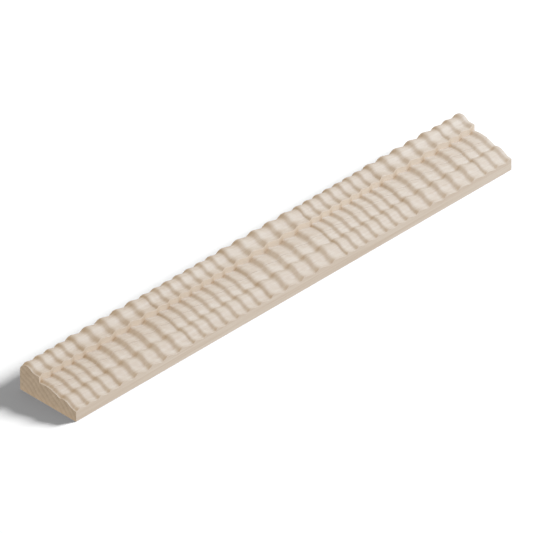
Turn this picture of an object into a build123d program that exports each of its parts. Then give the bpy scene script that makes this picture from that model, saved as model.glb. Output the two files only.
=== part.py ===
from build123d import *
import os
from math import cos, pi, sin

# Ripple moulding: one length of solid wooden stock with a moulded section and a rippled face.
# A ripple machine lets its cutter rise and fall while the stock slides under it, so the section
# moves along a wavy path without turning and every line of the face carries the same ripple.
# Millimetres. X runs along the length, Y from the low front edge to the high back edge and Z up
# from the flat underside. The origin is the middle of the underside.

# Overall size
LENGTH = 350.0
WIDTH = 45.0

# Section, from the front edge to the back. Heights are above the underside, in a ripple's bottom.
FRONT_HEIGHT = 6.85
OGEE_WIDTH = 10.2
BEAD_HEIGHT = 10.2
BEAD_BACK_WIDTH = 2.5
QUIRK_HEIGHT = 9.6
QUIRK_WIDTH = 0.95
SLOPE_WIDTH = 5.9
SLOPE_BOW = 0.25
FILLET_FOOT_HEIGHT = 11.6
BAND_FRONT_HEIGHT = 12.0
BAND_CROWN_HEIGHT = 12.4
BAND_BACK_HEIGHT = 11.85
STEP_FROM_BACK = 15.3
SHELF_HEIGHT = 16.0
SHELF_WIDTH = 3.6
RIDGE_HEIGHT = 18.5
RIDGE_FROM_BACK = 5.5
BACK_HEIGHT = 14.5

# Each ogee is a hollow arc and then a round one. This is the hollow's share of the whole curve.
OGEE_HOLLOW = 0.59
RIDGE_HOLLOW = 0.42

# Ripples come in runs, a narrow run and a wide run of one length, pair after pair.
RUN_LENGTHS = (58.9, 61.45, 56.25, 60.5)
NARROW_COUNT = 7
WIDE_COUNT = 5
NARROW_RISE = 1.2
WIDE_RISE = 1.75

# Each ripple rises steeply over this share of its length and falls away gently over the rest.
RISE_SHARE = 0.31

# What the saw cut at the near end took off the first narrow run
CUT_FROM_FIRST_RUN = 25.0

# The path is fixed at this many places in each rise and each fall, none closer than this to an end.
RISE_STATIONS = 2
FALL_STATIONS = 3
END_MARGIN = 0.8


def list_runs():
    """Each run of ripples as its start, length, count and rise, until the stock is covered."""
    runs = []
    start = -CUT_FROM_FIRST_RUN
    pair = 0
    while start < LENGTH:
        length = RUN_LENGTHS[pair % len(RUN_LENGTHS)]
        for count, rise in ((NARROW_COUNT, NARROW_RISE), (WIDE_COUNT, WIDE_RISE)):
            runs.append((start, length, count, rise))
            start += length
        pair += 1
    return [run for run in runs if run[0] < LENGTH]


def run_path(start, length, count, rise):
    """The wavy line through one run: level in the bottom of each ripple and on each crest."""
    pitch = length / count

    def turn(along):
        """How far up a ripple this place is, from 0 to 1, and how fast that grows along the length."""
        part = (along - start) / pitch % 1
        if part < RISE_SHARE:
            return part / RISE_SHARE, 1 / (RISE_SHARE * pitch)
        return (1 - part) / (1 - RISE_SHARE), -1 / ((1 - RISE_SHARE) * pitch)

    def lift(along):
        return rise * (1 - cos(pi * turn(along)[0])) / 2

    def slope(along):
        up, growth = turn(along)
        return rise * pi / 2 * sin(pi * up) * growth

    first = max(start, 0)
    last = min(start + length, LENGTH)
    rising = [RISE_SHARE * k / RISE_STATIONS for k in range(RISE_STATIONS)]
    falling = [RISE_SHARE + (1 - RISE_SHARE) * k / FALL_STATIONS for k in range(FALL_STATIONS)]
    stations = [start + (k + part) * pitch for k in range(count) for part in rising + falling]
    inside = [s for s in stations if first + END_MARGIN < s < last - END_MARGIN]
    points = [(s - LENGTH / 2, 0, lift(s)) for s in (first, *inside, last)]
    return Spline(*points, tangents=[(1, 0, slope(first)), (1, 0, slope(last))])


def section_wire(near_end, depth_below):
    """The closed section at the start of the path, reaching below the underside."""
    def at(point):
        return near_end + Vector(0, point[0] - WIDTH / 2, point[1])

    def between(low, high, share):
        return tuple(a + share * (b - a) for a, b in zip(low, high))

    front = (0, FRONT_HEIGHT)
    bead = (OGEE_WIDTH, BEAD_HEIGHT)
    ogee_turn = between(front, bead, OGEE_HOLLOW)
    quirk = (OGEE_WIDTH + BEAD_BACK_WIDTH, QUIRK_HEIGHT)
    slope = (quirk[0] + QUIRK_WIDTH, QUIRK_HEIGHT)
    fillet = (slope[0] + SLOPE_WIDTH, FILLET_FOOT_HEIGHT)
    slope_middle = between(slope, fillet, 0.5)
    slope_crown = (slope_middle[0], slope_middle[1] + SLOPE_BOW)
    band_front = (fillet[0], BAND_FRONT_HEIGHT)
    step = WIDTH - STEP_FROM_BACK
    band_crown = ((band_front[0] + step) / 2, BAND_CROWN_HEIGHT)
    band_back = (step, BAND_BACK_HEIGHT)
    shelf = (step, SHELF_HEIGHT)
    shelf_back = (step + SHELF_WIDTH, SHELF_HEIGHT)
    ridge = (WIDTH - RIDGE_FROM_BACK, RIDGE_HEIGHT)
    ridge_turn = between(shelf_back, ridge, RIDGE_HOLLOW)
    back = (WIDTH, BACK_HEIGHT)
    back_foot = (WIDTH, -depth_below)
    front_foot = (0, -depth_below)

    ogee_hollow = TangentArc(at(front), at(ogee_turn), tangent=(0, 1, 0))
    ridge_hollow = TangentArc(at(shelf_back), at(ridge_turn), tangent=(0, 1, 0))
    edges = [
        ogee_hollow,
        TangentArc(at(ogee_turn), at(bead), tangent=ogee_hollow % 1),
        TangentArc(at(bead), at(quirk), tangent=(0, 1, 0)),
        Line(at(quirk), at(slope)),
        ThreePointArc(at(slope), at(slope_crown), at(fillet)),
        Line(at(fillet), at(band_front)),
        ThreePointArc(at(band_front), at(band_crown), at(band_back)),
        Line(at(band_back), at(shelf)),
        Line(at(shelf), at(shelf_back)),
        ridge_hollow,
        TangentArc(at(ridge_turn), at(ridge), tangent=ridge_hollow % 1),
        TangentArc(at(ridge), at(back), tangent=(0, 1, 0)),
        Line(at(back), at(back_foot)),
        Line(at(back_foot), at(front_foot)),
        Line(at(front_foot), at(front)),
    ]
    return Wire(edges)


def make_moulding():
    """Sweep the section along the ripples without turning it, then saw the underside flat."""
    path = Wire([run_path(*run) for run in list_runs()])
    depth_below = 2 * max(NARROW_RISE, WIDE_RISE)
    section = section_wire(path @ 0, depth_below)
    rippled = Solid.sweep(section, path, mode=Vector(1, 0, 0))
    waste = Box(2 * LENGTH, 2 * WIDTH, 2 * depth_below, align=(Align.CENTER, Align.CENTER, Align.MAX))
    return rippled - waste


os.makedirs("parts", exist_ok=True)
moulding = make_moulding()
moulding.label = "ripple_moulding"
export_step(moulding, "parts/ripple_moulding.step")
print("ripple_moulding", moulding.is_valid, round(moulding.volume), moulding.bounding_box())
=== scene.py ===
# %% [markdown]
# # A length of ripple moulding
# The object is one strip of pale, planed hardwood. Its section has an ogee, a bead, a quirk, a sloped face,
# a crowned band, an upright step, a shelf and a rounded ridge, and a ripple runs across all of them. The
# solid model already has the true shape, so this lesson draws a finer skin on its lines, gives it wood, and
# sets it on a pale floor. All lengths are in metres.

# %% Load the frame
import math
import bmesh
import bpy
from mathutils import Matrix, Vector
from mathutils.geometry import interpolate_bezier


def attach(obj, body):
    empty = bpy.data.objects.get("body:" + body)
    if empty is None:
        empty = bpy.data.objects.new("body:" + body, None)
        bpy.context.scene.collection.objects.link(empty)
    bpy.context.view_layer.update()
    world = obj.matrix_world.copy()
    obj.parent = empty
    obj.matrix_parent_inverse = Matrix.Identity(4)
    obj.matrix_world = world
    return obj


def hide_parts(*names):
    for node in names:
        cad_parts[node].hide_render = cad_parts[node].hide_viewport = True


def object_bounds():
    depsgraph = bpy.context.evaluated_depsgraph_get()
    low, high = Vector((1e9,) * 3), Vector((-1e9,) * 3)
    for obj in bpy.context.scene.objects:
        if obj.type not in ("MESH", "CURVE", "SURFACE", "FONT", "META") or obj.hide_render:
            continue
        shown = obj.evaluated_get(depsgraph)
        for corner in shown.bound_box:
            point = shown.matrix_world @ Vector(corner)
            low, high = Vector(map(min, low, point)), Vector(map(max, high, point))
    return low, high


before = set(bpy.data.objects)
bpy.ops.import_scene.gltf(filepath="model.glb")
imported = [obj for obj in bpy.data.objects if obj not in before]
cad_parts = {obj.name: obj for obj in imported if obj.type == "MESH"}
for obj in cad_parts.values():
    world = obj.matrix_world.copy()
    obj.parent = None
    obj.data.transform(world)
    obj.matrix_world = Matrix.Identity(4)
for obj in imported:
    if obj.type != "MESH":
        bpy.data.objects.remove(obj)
cad_low, cad_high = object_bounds()

# %% [markdown]
# ## The sawn end, which is the section
# The moulding's section is the same everywhere: only its height changes, as the ripple lifts it. It could be
# drawn again from numbers, but the solid has it already, so the outline is taken from the solid's near end.
# A copy of its loose triangles is merged, everything off the end is deleted, and of the end only its boundary
# is kept.

# %% Keep the outline of the near end
MERGE_DISTANCE = 2e-6
ON_PLANE = 2e-5


def copy_of_solid():
    mesh = bmesh.new()
    mesh.from_mesh(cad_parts["ripple_moulding"].data)
    bmesh.ops.remove_doubles(mesh, verts=mesh.verts, dist=MERGE_DISTANCE)
    return mesh


end_copy = copy_of_solid()
off_end = [v for v in end_copy.verts if v.co.x > cad_low.x + ON_PLANE]
bmesh.ops.delete(end_copy, geom=off_end, context="VERTS")
bmesh.ops.delete(end_copy, geom=end_copy.faces[:], context="FACES_KEEP_BOUNDARY")
print("near end:", len(end_copy.verts), "points in its outline")

# %% [markdown]
# ## From corner to corner
# A mesh doesn't keep its points in order, so a walk from edge to edge finds it. Where the line turns sharply
# there is a corner, and the corners divide the section into stretches: the ogee, the quirk, the slope and so
# on. They stay apart because a curve may be smoothed along a stretch, but not across a corner.

# %% Walk round the outline
CORNER_ANGLE = math.radians(22)


def walk_round(start):
    """The places of the outline in order, from one point round to the same point."""
    places = [start.co.copy()]
    edge = start.link_edges[0]
    point = edge.other_vert(start)
    while point is not start:
        places.append(point.co.copy())
        edge = next(e for e in point.link_edges if e is not edge)
        point = edge.other_vert(point)
    return places + places[:1]


def corner_to_corner(places):
    """The stretches of a line between its corners, which both keep."""
    stretches = [places[:1]]
    for before, here, after in zip(places, places[1:], places[2:]):
        stretches[-1].append(here)
        if (here - before).angle(after - here) > CORNER_ANGLE:
            stretches.append([here])
    stretches[-1].append(places[-1])
    return stretches


front_foot = min(end_copy.verts, key=lambda point: point.co.y + point.co.z)
section = corner_to_corner(walk_round(front_foot))
end_copy.free()
print("section:", len(section), "stretches with", [len(stretch) for stretch in section], "points")

# %% [markdown]
# ## The ripple line
# The top edge of the front face carries the ripple from end to end. A copy of the solid, with everything off
# the front face deleted, gives its points. They are far enough apart to show as facets in a close view, so a
# smooth curve is drawn through them, and each step between two points gets more stations on that curve.

# %% Read the ripple along the front edge
STEPS_BETWEEN = 2
HANDLE_PART = 3

front_face = copy_of_solid()
off_front = [v for v in front_face.verts if v.co.y > cad_low.y + ON_PLANE]
bmesh.ops.delete(front_face, geom=off_front, context="VERTS")
top_edge = sorted((v.co.copy() for v in front_face.verts if v.co.z > ON_PLANE), key=lambda point: point.x)
front_face.free()


def smooth_line(points, steps):
    """The smooth curve through these points, in this many steps from each to the next. Two stay straight."""
    if len(points) == 2:
        return points
    ends = [points[0]] + points + [points[-1]]
    line = []
    for before, start, end, after in zip(ends, ends[1:], ends[2:], ends[3:]):
        reach = (end - start).length / HANDLE_PART
        start_handle = start + (end - before).normalized() * reach
        end_handle = end - (after - start).normalized() * reach
        line += interpolate_bezier(start, start_handle, end_handle, end, steps + 1)[:-1]
    return line + [points[-1]]


stations = smooth_line(top_edge, STEPS_BETWEEN)
print("ripple line:", len(top_edge), "points,", len(stations), "stations")

# %% [markdown]
# ## The flanks of the ripples
# A real scraper leaves the steep rises a little crisper and the long falls a little straighter than the solid
# draws them, by less than a tenth of a millimetre. The line turns at every crest and every bottom. Between
# two turns lies a flank, and each flank is bent by a small sine, which leaves the turns where they are.

# %% Bend each flank
RISE_CRISPNESS = 0.2
FALL_CRISPNESS = -0.2

heights = [station.z for station in stations]
climbs = [after - before for before, after in zip(heights, heights[1:])]
turns = [0] + [n for n in range(1, len(climbs)) if climbs[n - 1] * climbs[n] <= 0]
for first, last in zip(turns, turns[1:] + [len(climbs)]):
    climb = heights[last] - heights[first]
    crispness = RISE_CRISPNESS if climb > 0 else FALL_CRISPNESS
    for number in range(first + 1, last):
        share = (heights[number] - heights[first]) / climb
        moved = share - crispness * math.sin(math.tau * share) / math.tau
        stations[number].z = heights[first] + climb * moved

# %% [markdown]
# ## Draw the section out
# A ripple machine slides a plain strip of stock under a cutter that rises and falls, and the mesh is made in
# the same order. The outline, with its coarser curves smoothed as the ripple was, is drawn out to a plain
# strip, and the strip is cut across into as many stations as the ripple line has.

# %% Draw the outline out and cut it into stations
LENGTH = cad_high.x - cad_low.x
FINE_POINTS = 20

wood = bmesh.new()
# This layer holds how much painted shade each point takes, in the hollows of rises facing away from the lamp.
painted_shade_layer = wood.verts.layers.float.new("painted_shade")
outline_places = []
for stretch in section:
    steps = 1 if len(stretch) > FINE_POINTS else STEPS_BETWEEN
    outline_places += smooth_line(stretch, steps)[:-1]
outline_points = [wood.verts.new(corner) for corner in outline_places]
next_points = outline_points[1:] + outline_points[:1]
near_outline = [wood.edges.new(pair) for pair in zip(outline_points, next_points)]
drawn = bmesh.ops.extrude_edge_only(wood, edges=near_outline)["geom"]
far_points = [g for g in drawn if isinstance(g, bmesh.types.BMVert)]
far_outline = [g for g in drawn if isinstance(g, bmesh.types.BMEdge)]
bmesh.ops.translate(wood, verts=far_points, vec=(LENGTH, 0, 0))
lengthwise = [e for e in wood.edges if abs(e.verts[0].co.x - e.verts[1].co.x) > LENGTH / 2]
bmesh.ops.subdivide_edgering(
    wood, edges=lengthwise, cuts=len(stations) - 2, interp_mode="LINEAR", smooth=0, profile_shape_factor=0,
)
print("strip:", len(outline_places), "points round it,", len(wood.faces), "faces")

# %% [markdown]
# ## Lift the ripples
# Each station goes to its place along the length and is lifted as the ripple lifts it there, while the
# underside stays on the floor. Painted shade, a warm brown, goes where light reaches least: at the foot of
# each steep rise, at the front edge, in the quirk and against the step, and only on the rises that face away
# from the lamp. So each point also gets a number for how much painted shade it takes. A hollow has a place
# across the width, a reach to both sides and a depth.

# %% Lift each station and mark the painted shade in the hollows
STEEP = 0.5
FRONT_Y = cad_low.y + 0.0011
QUIRK_Y = cad_low.y + 0.0132
STEP_Y = cad_high.y - 0.0153
STEP_TOP = 0.0155
# Where the painted shade lies across the width: the place, reach and depth of each hollow.
SHADE_HOLLOWS = (
    (FRONT_Y, 0.0007, 0.3),
    (QUIRK_Y, 0.0014, 0.35),
    (STEP_Y, 0.0016, 0.9),
)

even_step = LENGTH / (len(stations) - 1)
for point in wood.verts:
    number = round((point.co.x - cad_low.x) / even_step)
    station = stations[number]
    point.co.x = station.x
    if point.co.z < ON_PLANE:
        continue
    ahead = stations[min(number + 1, len(stations) - 1)] - stations[max(number - 1, 0)]
    steepness = min(max(ahead.z / ahead.x / STEEP, 0), 1)
    if point.co.z < STEP_TOP:
        depths = [depth * math.exp(-((point.co.y - y) / reach) ** 2) for y, reach, depth in SHADE_HOLLOWS]
        point[painted_shade_layer] = steepness * max(depths)
    point.co.z = min(point.co.z + station.z - stations[0].z, cad_high.z)
    point.co.y = min(point.co.y, cad_high.y)
print("hollows: up to", round(max(point[painted_shade_layer] for point in wood.verts), 2))

# %% [markdown]
# ## Close the ends and ease the arrises
# Sawn ends are flat, so each is one face. A planed arris is never a knife edge: fingers and sandpaper take
# off about a fifth of a millimetre. Only the outward corners are eased, and the inner corners of quirk and
# step stay crisp. The layers for the marks of the next step are made first, because a new layer moves the
# faces in memory, and those that an operator has returned would be lost.

# %% Cap the ends and bevel the outward corners
ARRIS = 0.0002

arris_layer = wood.faces.layers.float.new("arris")
# This layer marks the step's upright, which gets painted light: lighter and warmer, for light bounced into
# it.
bounce_light_layer = wood.faces.layers.float.new("painted_bounce_light")
edge_layer = wood.faces.layers.float.new("edge")
end_faces = []
for outline in (near_outline, far_outline):
    end_faces += bmesh.ops.contextual_create(wood, geom=outline)["faces"]
bmesh.ops.recalc_face_normals(wood, faces=wood.faces[:])
corners = [e for e in wood.edges if len(e.link_faces) == 2 and e.calc_face_angle_signed() > CORNER_ANGLE]
eased = bmesh.ops.bevel(
    wood, geom=corners, offset=ARRIS, offset_type="OFFSET", segments=2, profile=0.5, affect="EDGES",
    material=-1, clamp_overlap=True,
)["faces"]
print("end faces:", len(end_faces), "and eased edges:", len(corners))

# %% [markdown]
# ## Mark what the finish needs to know
# The eased strips are marked in an attribute, because the finish is worn there. The upright of the step is
# marked in another, where it is painted lighter and warmer: painted light, for warm light bounced into the
# step. A third marks the flat front and back edges, whose grain is straighter than that of the moulded face.
# The shading is smooth everywhere but at the corners.

# %% Mark the faces and the sharp edges
for face in eased:
    face[arris_layer] = 1.0
for face in wood.faces:
    face.smooth = True
    middle = face.calc_center_median()
    on_step = abs(middle.y - STEP_Y) < ON_PLANE
    on_edge = min(middle.y - cad_low.y, cad_high.y - middle.y) < ON_PLANE
    # The step's upright takes painted bounce light.
    face[bounce_light_layer] = 1.0 if on_step else 0.0
    face[edge_layer] = 1.0 if on_edge else 0.0
for edge in wood.edges:
    edge.smooth = len(edge.link_faces) == 2 and edge.calc_face_angle() < CORNER_ANGLE
print("open edges:", sum(len(edge.link_faces) != 2 for edge in wood.edges))

# %% [markdown]
# ## Put the piece in the scene
# The skin becomes an object that rides on the body and stands for the solid, which is hidden. The narrow
# eased strips would pull the shading of the wide faces beside them, so a modifier weighs each face's normal
# by its area.

# %% The rippled wood
wood_mesh = bpy.data.meshes.new("rippled_wood")
wood.to_mesh(wood_mesh)
wood.free()
rippled_wood = bpy.data.objects.new("rippled_wood", wood_mesh)
bpy.context.scene.collection.objects.link(rippled_wood)
even_normals = rippled_wood.modifiers.new("even_normals", "WEIGHTED_NORMAL")
even_normals.keep_sharp = True
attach(rippled_wood, "root")
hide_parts("ripple_moulding")
print("piece:", len(wood_mesh.vertices), "points,", len(wood_mesh.polygons), "faces")

# %% [markdown]
# ## Shader sums as Python
# Wood is a sum of many faint patterns, and a chain of nodes made one by one is hard to read. So a small class
# wraps a socket: adding or multiplying two of them adds a Math node, and one method adds any other node.

# %% A socket that can be added and multiplied


class Value:
    """One socket of a node tree. Sums on it add Math nodes to the same tree."""

    def __init__(self, tree, socket):
        self.tree = tree
        self.socket = socket

    def node(self, kind, settings, sockets, output=0):
        """Add a node: its settings first, then a number for each socket, or a Value to link to it."""
        made = self.tree.nodes.new(kind)
        for name, setting in settings.items():
            setattr(made, name, setting)
        for name, value in sockets.items():
            if isinstance(value, Value):
                self.tree.links.new(value.socket, made.inputs[name])
            else:
                made.inputs[name].default_value = value
        return Value(self.tree, made.outputs[output])

    def math(self, operation, *others):
        return self.node("ShaderNodeMath", {"operation": operation}, dict(enumerate((self, *others))))

    def __add__(self, other):
        return self.math("ADD", other)

    def __sub__(self, other):
        return self.math("SUBTRACT", other)

    def __mul__(self, other):
        return self.math("MULTIPLY", other)

    def __truediv__(self, other):
        return self.math("DIVIDE", other)

    def __rsub__(self, other):
        return self * -1 + other

    __radd__ = __add__
    __rmul__ = __mul__


wood_finish = bpy.data.materials.new("planed_pale_wood")
wood_finish.use_nodes = True
wood_mesh.materials.append(wood_finish)
tree = wood_finish.node_tree
wood_shader = tree.nodes["Principled BSDF"]
place = Value(tree, tree.nodes.new("ShaderNodeTexCoord").outputs["Object"])
print("material:", wood_finish.name)

# %% [markdown]
# ## Helpers for patterns
# Three patterns are used again and again: a soft step from 0 to 1, a place stretched so that a noise becomes
# fibres, and a noise itself, moved so that it swings evenly about zero. Fibres lie in flat rays that point
# away from the pith of the tree, so the place is first turned by the slant of those rays, and stretched along
# them too.

# %% Soft steps, stretched places and noise
RAY_SLANT = math.radians(-35)
RAY_DEPTH = 3.0
NOISE_ROUGHNESS = 0.55

grain_place = place.node("ShaderNodeMapping", {}, {"Vector": place, "Rotation": (RAY_SLANT, 0, 0)})


def soft_step(value, low, high):
    settings = {"interpolation_type": "SMOOTHSTEP"}
    return value.node("ShaderNodeMapRange", settings, {"Value": value, "From Min": low, "From Max": high})


def stretched(length, thickness):
    """The place in the wood, measured in pieces this long along the grain and this thick across the rays."""
    scale = (1 / length, 1 / thickness, 1 / (thickness * RAY_DEPTH))
    return place.node("ShaderNodeVectorMath", {"operation": "MULTIPLY"}, {0: grain_place, 1: scale})


def swing(where, detail):
    """A noise from about -1 to 1."""
    sockets = {"Vector": where, "Scale": 1.0, "Detail": detail, "Roughness": NOISE_ROUGHNESS}
    return (where.node("ShaderNodeTexNoise", {}, sockets) - 0.5) * 2


print("rays slant by", round(math.degrees(RAY_SLANT)), "degrees")

# %% [markdown]
# ## Growth rings
# A board is cut from a log, so its rings are circles round the pith, which lies below the board and behind
# it. On the sawn end they show as bands that rise to the back, and on the planed faces as faint lines along
# the length. The distance from the pith, bent a little by noise as trees grow, divided by a ring's width,
# gives them all at once. Each ring darkens slowly towards its late wood and starts again pale, and some rings
# are darker than others.

# %% Rings round the pith
PITH = (0.0, 0.065, -0.065)
RING_WIDTH = 0.0036
RING_WANDER = 0.0022
WANDER_SIZE = (0.14, 0.011)
TONE_SIZE = (0.5, 0.006)
DARKENING = (0.2, 0.82)
STARTING_AGAIN = (0.88, 1.0)

across = place.node("ShaderNodeVectorMath", {"operation": "MULTIPLY"}, {0: place, 1: (0, 1, 1)})
from_pith = across.node("ShaderNodeVectorMath", {"operation": "SUBTRACT"}, {0: across, 1: PITH})
radius = from_pith.node("ShaderNodeVectorMath", {"operation": "LENGTH"}, {0: from_pith}, output="Value")
wander = swing(stretched(*WANDER_SIZE), 1.0) * RING_WANDER
ring = (radius + wander) / RING_WIDTH
ring_part = ring.math("FRACT")
late_wood = soft_step(ring_part, *DARKENING) * (1 - soft_step(ring_part, *STARTING_AGAIN))
ring_tone = swing(stretched(*TONE_SIZE), 1.0)

# %% [markdown]
# ## Fibres and pores
# Pale hardwood has fine fibres along its length and pores that show as short dashes on the faces and as dots
# on the end. A noise stretched along the length gives both, because the end cuts straight through it. Wider
# streaks and a slow blush keep a long face from looking even. On the flat front and back edges the plane has
# cut along the grain, so they get long straight lines, which are the same across the width.

# %% Fibres and pores along the grain
FIBRE = (0.035, 0.0006)
STREAK = (0.11, 0.0016)
BLUSH = (0.09, 0.03)
PORE = (0.0032, 0.00022)
PORE_RIM = (0.3, 0.55)
EDGE_LINE = (0.12, 0.0013)

fibres = swing(stretched(*FIBRE), 2.0)
streaks = swing(stretched(*STREAK), 2.0)
pores = soft_step(swing(stretched(*PORE), 1.0), *PORE_RIM)
blush = swing(stretched(*BLUSH), 1.0)
edge_scale = (1 / EDGE_LINE[0], 0, 1 / EDGE_LINE[1])
edge_place = place.node("ShaderNodeVectorMath", {"operation": "MULTIPLY"}, {0: place, 1: edge_scale})
edge_lines = swing(edge_place, 2.0)

# %% [markdown]
# ## End grain
# A sawn end drinks light: it looks down the open ends of the fibres, so it is darker and warmer than the
# faces, and its rings are clearer. The ends lie at a known place, so the distance from the middle along the
# length is the mask. The saw also leaves very fine straight marks there.

# %% Where the end grain shows
END_DEPTH = 0.00025
SAW_MARK = 0.0007
SAW_WANDER = (1.0, 0.02)

ways = place.node("ShaderNodeSeparateXYZ", {}, {0: place})
from_middle = Value(tree, ways.socket.node.outputs["X"]).math("ABSOLUTE")
end_grain = soft_step(from_middle, LENGTH / 2 - END_DEPTH, LENGTH / 2 - END_DEPTH / 4)
upright = Value(tree, ways.socket.node.outputs["Z"])
saw_turns = upright / SAW_MARK + swing(stretched(*SAW_WANDER), 1.0)
saw_marks = (saw_turns * math.tau).math("SINE") * end_grain

# %% [markdown]
# ## How warm each place is
# The pale wood is mixed with its warmer late wood by a share, which is the sum of all the patterns. A share
# starts at what the even wood has, and the number beside each pattern is its weight. The end has a share of
# its own, in which the rings weigh more. The Mix node has sockets of one name for each kind of data, so those
# for colours are picked by number.

# %% Shares of warm wood
FACE_WARMTH = 0.255
END_WARMTH = 0.3
MIX_SHARE = 0
MIX_LOW = 6
MIX_HIGH = 7
MIX_RESULT = 2


def mixed(share, low, high):
    """A colour between two, by a share from 0 to 1."""
    sockets = {MIX_SHARE: share, MIX_LOW: low, MIX_HIGH: high}
    return share.node("ShaderNodeMix", {"data_type": "RGBA"}, sockets, output=MIX_RESULT)


def marked(name):
    """What an attribute of the mesh says at each place."""
    return place.node("ShaderNodeAttribute", {"attribute_name": name}, {}, output="Fac")


face_share = (
    FACE_WARMTH + late_wood * 0.2 + fibres * 0.45 + streaks * 0.45 + blush * 0.15 + pores * 0.3
    + marked("edge") * edge_lines * 0.7
)
end_share = (
    END_WARMTH + late_wood * 0.4 + ring_tone * 0.2 + fibres * 0.3 + streaks * 0.4 + pores * 0.2
    + saw_marks * 0.05
)
print("warm share of the faces", FACE_WARMTH, "and of the ends", END_WARMTH)

# %% [markdown]
# ## Colour
# The step's upright is painted lighter and warmer than the face: painted light, for warm light bounced into
# the step. The hollows on the steep rises that face away from the lamp get painted shade, a warm brown, and
# worn arrises are a little paler, because handling polishes them before it soils them. None of these has a
# clean border, so the fibres or streaks break each one up. The end grain is mixed in over all that, with
# painted light along its foot: it is warmer there, for the light that a floor would throw back.

# %% Mix the colours
PALE = (0.64, 0.555, 0.46, 1)
WARM = (0.52, 0.41, 0.31, 1)
# Painted light: the step's upright, lighter and warmer, for light bounced into the step.
PAINTED_BOUNCE_LIGHT = (0.78, 0.665, 0.54, 1)
# Painted shade: a warm brown for the hollows on the steep rises.
PAINTED_SHADE_BROWN = (0.61, 0.46, 0.31, 1)
WORN = (0.66, 0.575, 0.48, 1)
END_PALE = (0.54, 0.457, 0.365, 1)
END_DARK = (0.375, 0.303, 0.225, 1)
# Painted light: the foot of the sawn end is warmer, for light that a floor would throw back.
END_FLOOR_BOUNCE = (0.57, 0.44, 0.31, 1)
FLOOR_BOUNCE_HEIGHT = 0.005

arris = marked("arris")
face_colour = mixed(face_share, PALE, WARM)
# Painted light on the step's upright, lighter and warmer.
bounce_lit_colour = mixed(marked("painted_bounce_light") * (0.7 + streaks * 0.5), face_colour, PAINTED_BOUNCE_LIGHT)
# Painted shade in the hollows of the steep rises.
shaded_colour = mixed(marked("painted_shade") * (0.75 + fibres * 0.4), bounce_lit_colour, PAINTED_SHADE_BROWN)
worn_colour = mixed(arris * (0.3 + fibres * 0.3), shaded_colour, WORN)
end_colour = mixed(end_share, END_PALE, END_DARK)
# Painted floor bounce: the sawn end gets warmer towards its foot.
painted_floor_bounce = (1 - soft_step(upright, 0.0, FLOOR_BOUNCE_HEIGHT)) * (0.4 + fibres * 0.3)
wood_colour = mixed(end_grain, worn_colour, mixed(painted_floor_bounce, end_colour, END_FLOOR_BOUNCE))
tree.links.new(wood_colour.socket, wood_shader.inputs["Base Color"])
print("nodes so far:", len(tree.nodes))

# %% [markdown]
# ## Sheen and relief
# Scraped wood is nearly matt, a little smoother in late wood and on worn arrises, and rough on the end. The
# relief is tiny: fibres stand up by some hundredths of a millimetre, pores are pits, and the end has its saw
# marks. The height is a sum too, and one Bump node turns it into normals.

# %% Roughness and bump
MATT = 0.62
SHINE = 0.35
BUMP_STRENGTH = 0.45
BUMP_HEIGHT = 0.00006

roughness = MATT - late_wood * 0.05 + fibres * 0.05 + pores * 0.1 - arris * 0.08 + end_grain * 0.12
tree.links.new(roughness.socket, wood_shader.inputs["Roughness"])
wood_shader.inputs["Specular IOR Level"].default_value = SHINE
height = fibres * 0.35 - pores * 0.6 + late_wood * 0.15 + saw_marks * 0.3
bump_sockets = {"Strength": BUMP_STRENGTH, "Distance": BUMP_HEIGHT, "Height": height}
bump = height.node("ShaderNodeBump", {}, bump_sockets)
tree.links.new(bump.socket, wood_shader.inputs["Normal"])
print("nodes in the wood:", len(tree.nodes))

# %% [markdown]
# ## Floor
# The piece lies on a plain pale floor that shows nothing but its shadow. So bright a floor would throw back
# enough light to wash out the ripples. It is left out of the wood's bounced light and lets light through,
# and the sky below gives the wood its light from below instead. The floor's lamp is warm, so the floor's
# colour is cool, and together they come out white with a grey shadow.

# %% Lay the floor
FLOOR_HALF = 4.0
FLOOR_COLOUR = (0.479, 0.595, 0.867, 1)

floor_mesh = bpy.data.meshes.new("floor")
floor_shape = bmesh.new()
bmesh.ops.create_grid(floor_shape, x_segments=1, y_segments=1, size=FLOOR_HALF)
floor_shape.to_mesh(floor_mesh)
floor_shape.free()
floor = bpy.data.objects.new("floor", floor_mesh)
bpy.context.scene.collection.objects.link(floor)
floor.visible_diffuse = False
floor.visible_glossy = False
floor.visible_shadow = False
floor_finish = bpy.data.materials.new("pale_floor")
floor_finish.use_nodes = True
floor_mesh.materials.append(floor_finish)
floor_shader = floor_finish.node_tree.nodes["Principled BSDF"]
floor_shader.inputs["Base Color"].default_value = FLOOR_COLOUR
floor_shader.inputs["Roughness"].default_value = 1.0
floor_shader.inputs["Specular IOR Level"].default_value = 0.0
print("floor", 2 * FLOOR_HALF, "m wide")

# %% [markdown]
# ## Lamps
# A cool lamp from the far right rakes over the ripples, so that each steep side is in shade. A second lamp,
# lower and far stronger, lights only the floor and throws the dark, soft shadow on the left. Light linking
# keeps the two apart: each lamp has a collection of what it lights.

# %% Hang the lamps
LAMP_SPREAD = 0.3
COOL_WHITE = (0.59, 0.763, 1.0)
WARM_WHITE = (1.0, 0.807, 0.554)


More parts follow.
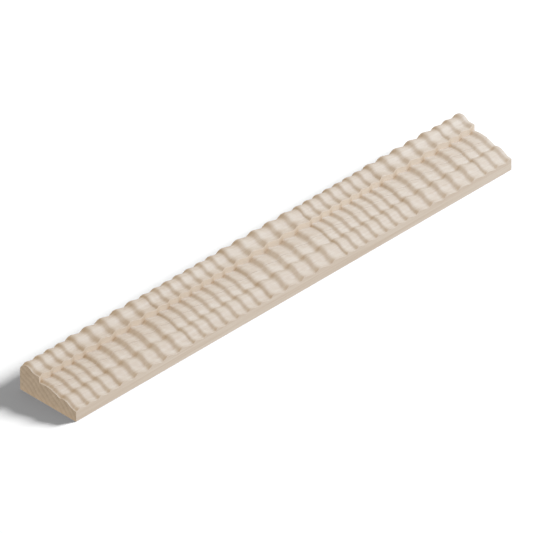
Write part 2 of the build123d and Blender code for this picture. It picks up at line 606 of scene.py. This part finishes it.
def soft_lamp(name, azimuth, elevation, distance, watts, colour, target):
    """A round lamp that lights one thing, from this many degrees round from the far end to the front."""
    turn = math.radians(azimuth)
    rise = math.radians(elevation)
    direction = Vector((math.cos(turn) * math.cos(rise), -math.sin(turn) * math.cos(rise), math.sin(rise)))
    data = bpy.data.lights.new(name, "AREA")
    data.shape = "DISK"
    data.size = distance * LAMP_SPREAD
    data.energy = watts
    data.color = colour
    lamp = bpy.data.objects.new(name, data)
    lamp.location = direction * distance
    lamp.rotation_euler = direction.to_track_quat("Z", "Y").to_euler()
    bpy.context.scene.collection.objects.link(lamp)
    lit = bpy.data.collections.new(name + "_lights")
    lit.objects.link(target)
    lamp.light_linking.receiver_collection = lit
    return lamp


wood_lamp = soft_lamp(
    "wood_lamp", azimuth=36, elevation=48, distance=2.0, watts=43.5, colour=COOL_WHITE, target=rippled_wood,
)
floor_lamp = soft_lamp(
    "floor_lamp", azimuth=24.7, elevation=26.2, distance=8.0, watts=2455.0, colour=WARM_WHITE, target=floor,
)
print("lamps:", wood_lamp.name, floor_lamp.name)

# %% [markdown]
# ## Sky
# A warm sky fills the shades that the lamp leaves, and a paler one below stands in for the light that a real
# floor would throw back. They meet softly at the horizon. The plain view transform keeps the pale colours as
# they are, where the usual one would grey them.

# %% Two colours of sky
SKY_ABOVE = (0.603, 0.486, 0.333, 1)
SKY_BELOW = (0.97, 0.956, 0.945, 1)
HORIZON = 0.08

sky = bpy.data.worlds.new("warm_sky")
bpy.context.scene.world = sky
sky.use_nodes = True
background = sky.node_tree.nodes["Background"]
sky_way = Value(sky.node_tree, sky.node_tree.nodes.new("ShaderNodeTexCoord").outputs["Generated"])
sky_height = sky_way.node("ShaderNodeSeparateXYZ", {}, {0: sky_way}, output="Z")
sky_colour = mixed(soft_step(sky_height, -HORIZON, HORIZON), SKY_BELOW, SKY_ABOVE)
sky.node_tree.links.new(sky_colour.socket, background.inputs["Color"])
bpy.context.scene.view_settings.view_transform = "Standard"
print("sky:", sky.name)

# %% [markdown]
# ## Camera
# The photograph is a parallel view from above a corner, with no vanishing point. A very long lens far away
# comes close to that and still is a lens. It looks along the cube's diagonal, as an isometric drawing does.

# %% Set up the camera
LENS = 1500.0
SENSOR = 36.0
PICTURE_WIDTH = 0.3032
AIM = Vector((0.0084, 0.0092, -0.0003))
BACK = Vector((-1, -1, 1)).normalized()
CLIP_END = 30.0

camera_distance = PICTURE_WIDTH * LENS / SENSOR
camera_data = bpy.data.cameras.new("camera")
camera_data.lens = LENS
camera_data.sensor_width = SENSOR
camera_data.clip_end = CLIP_END
camera = bpy.data.objects.new("camera", camera_data)
camera.location = AIM + BACK * camera_distance
camera.rotation_euler = (-BACK).to_track_quat("-Z", "Y").to_euler()
bpy.context.scene.collection.objects.link(camera)
bpy.context.scene.camera = camera
print("camera", round(camera_distance, 2), "m away")
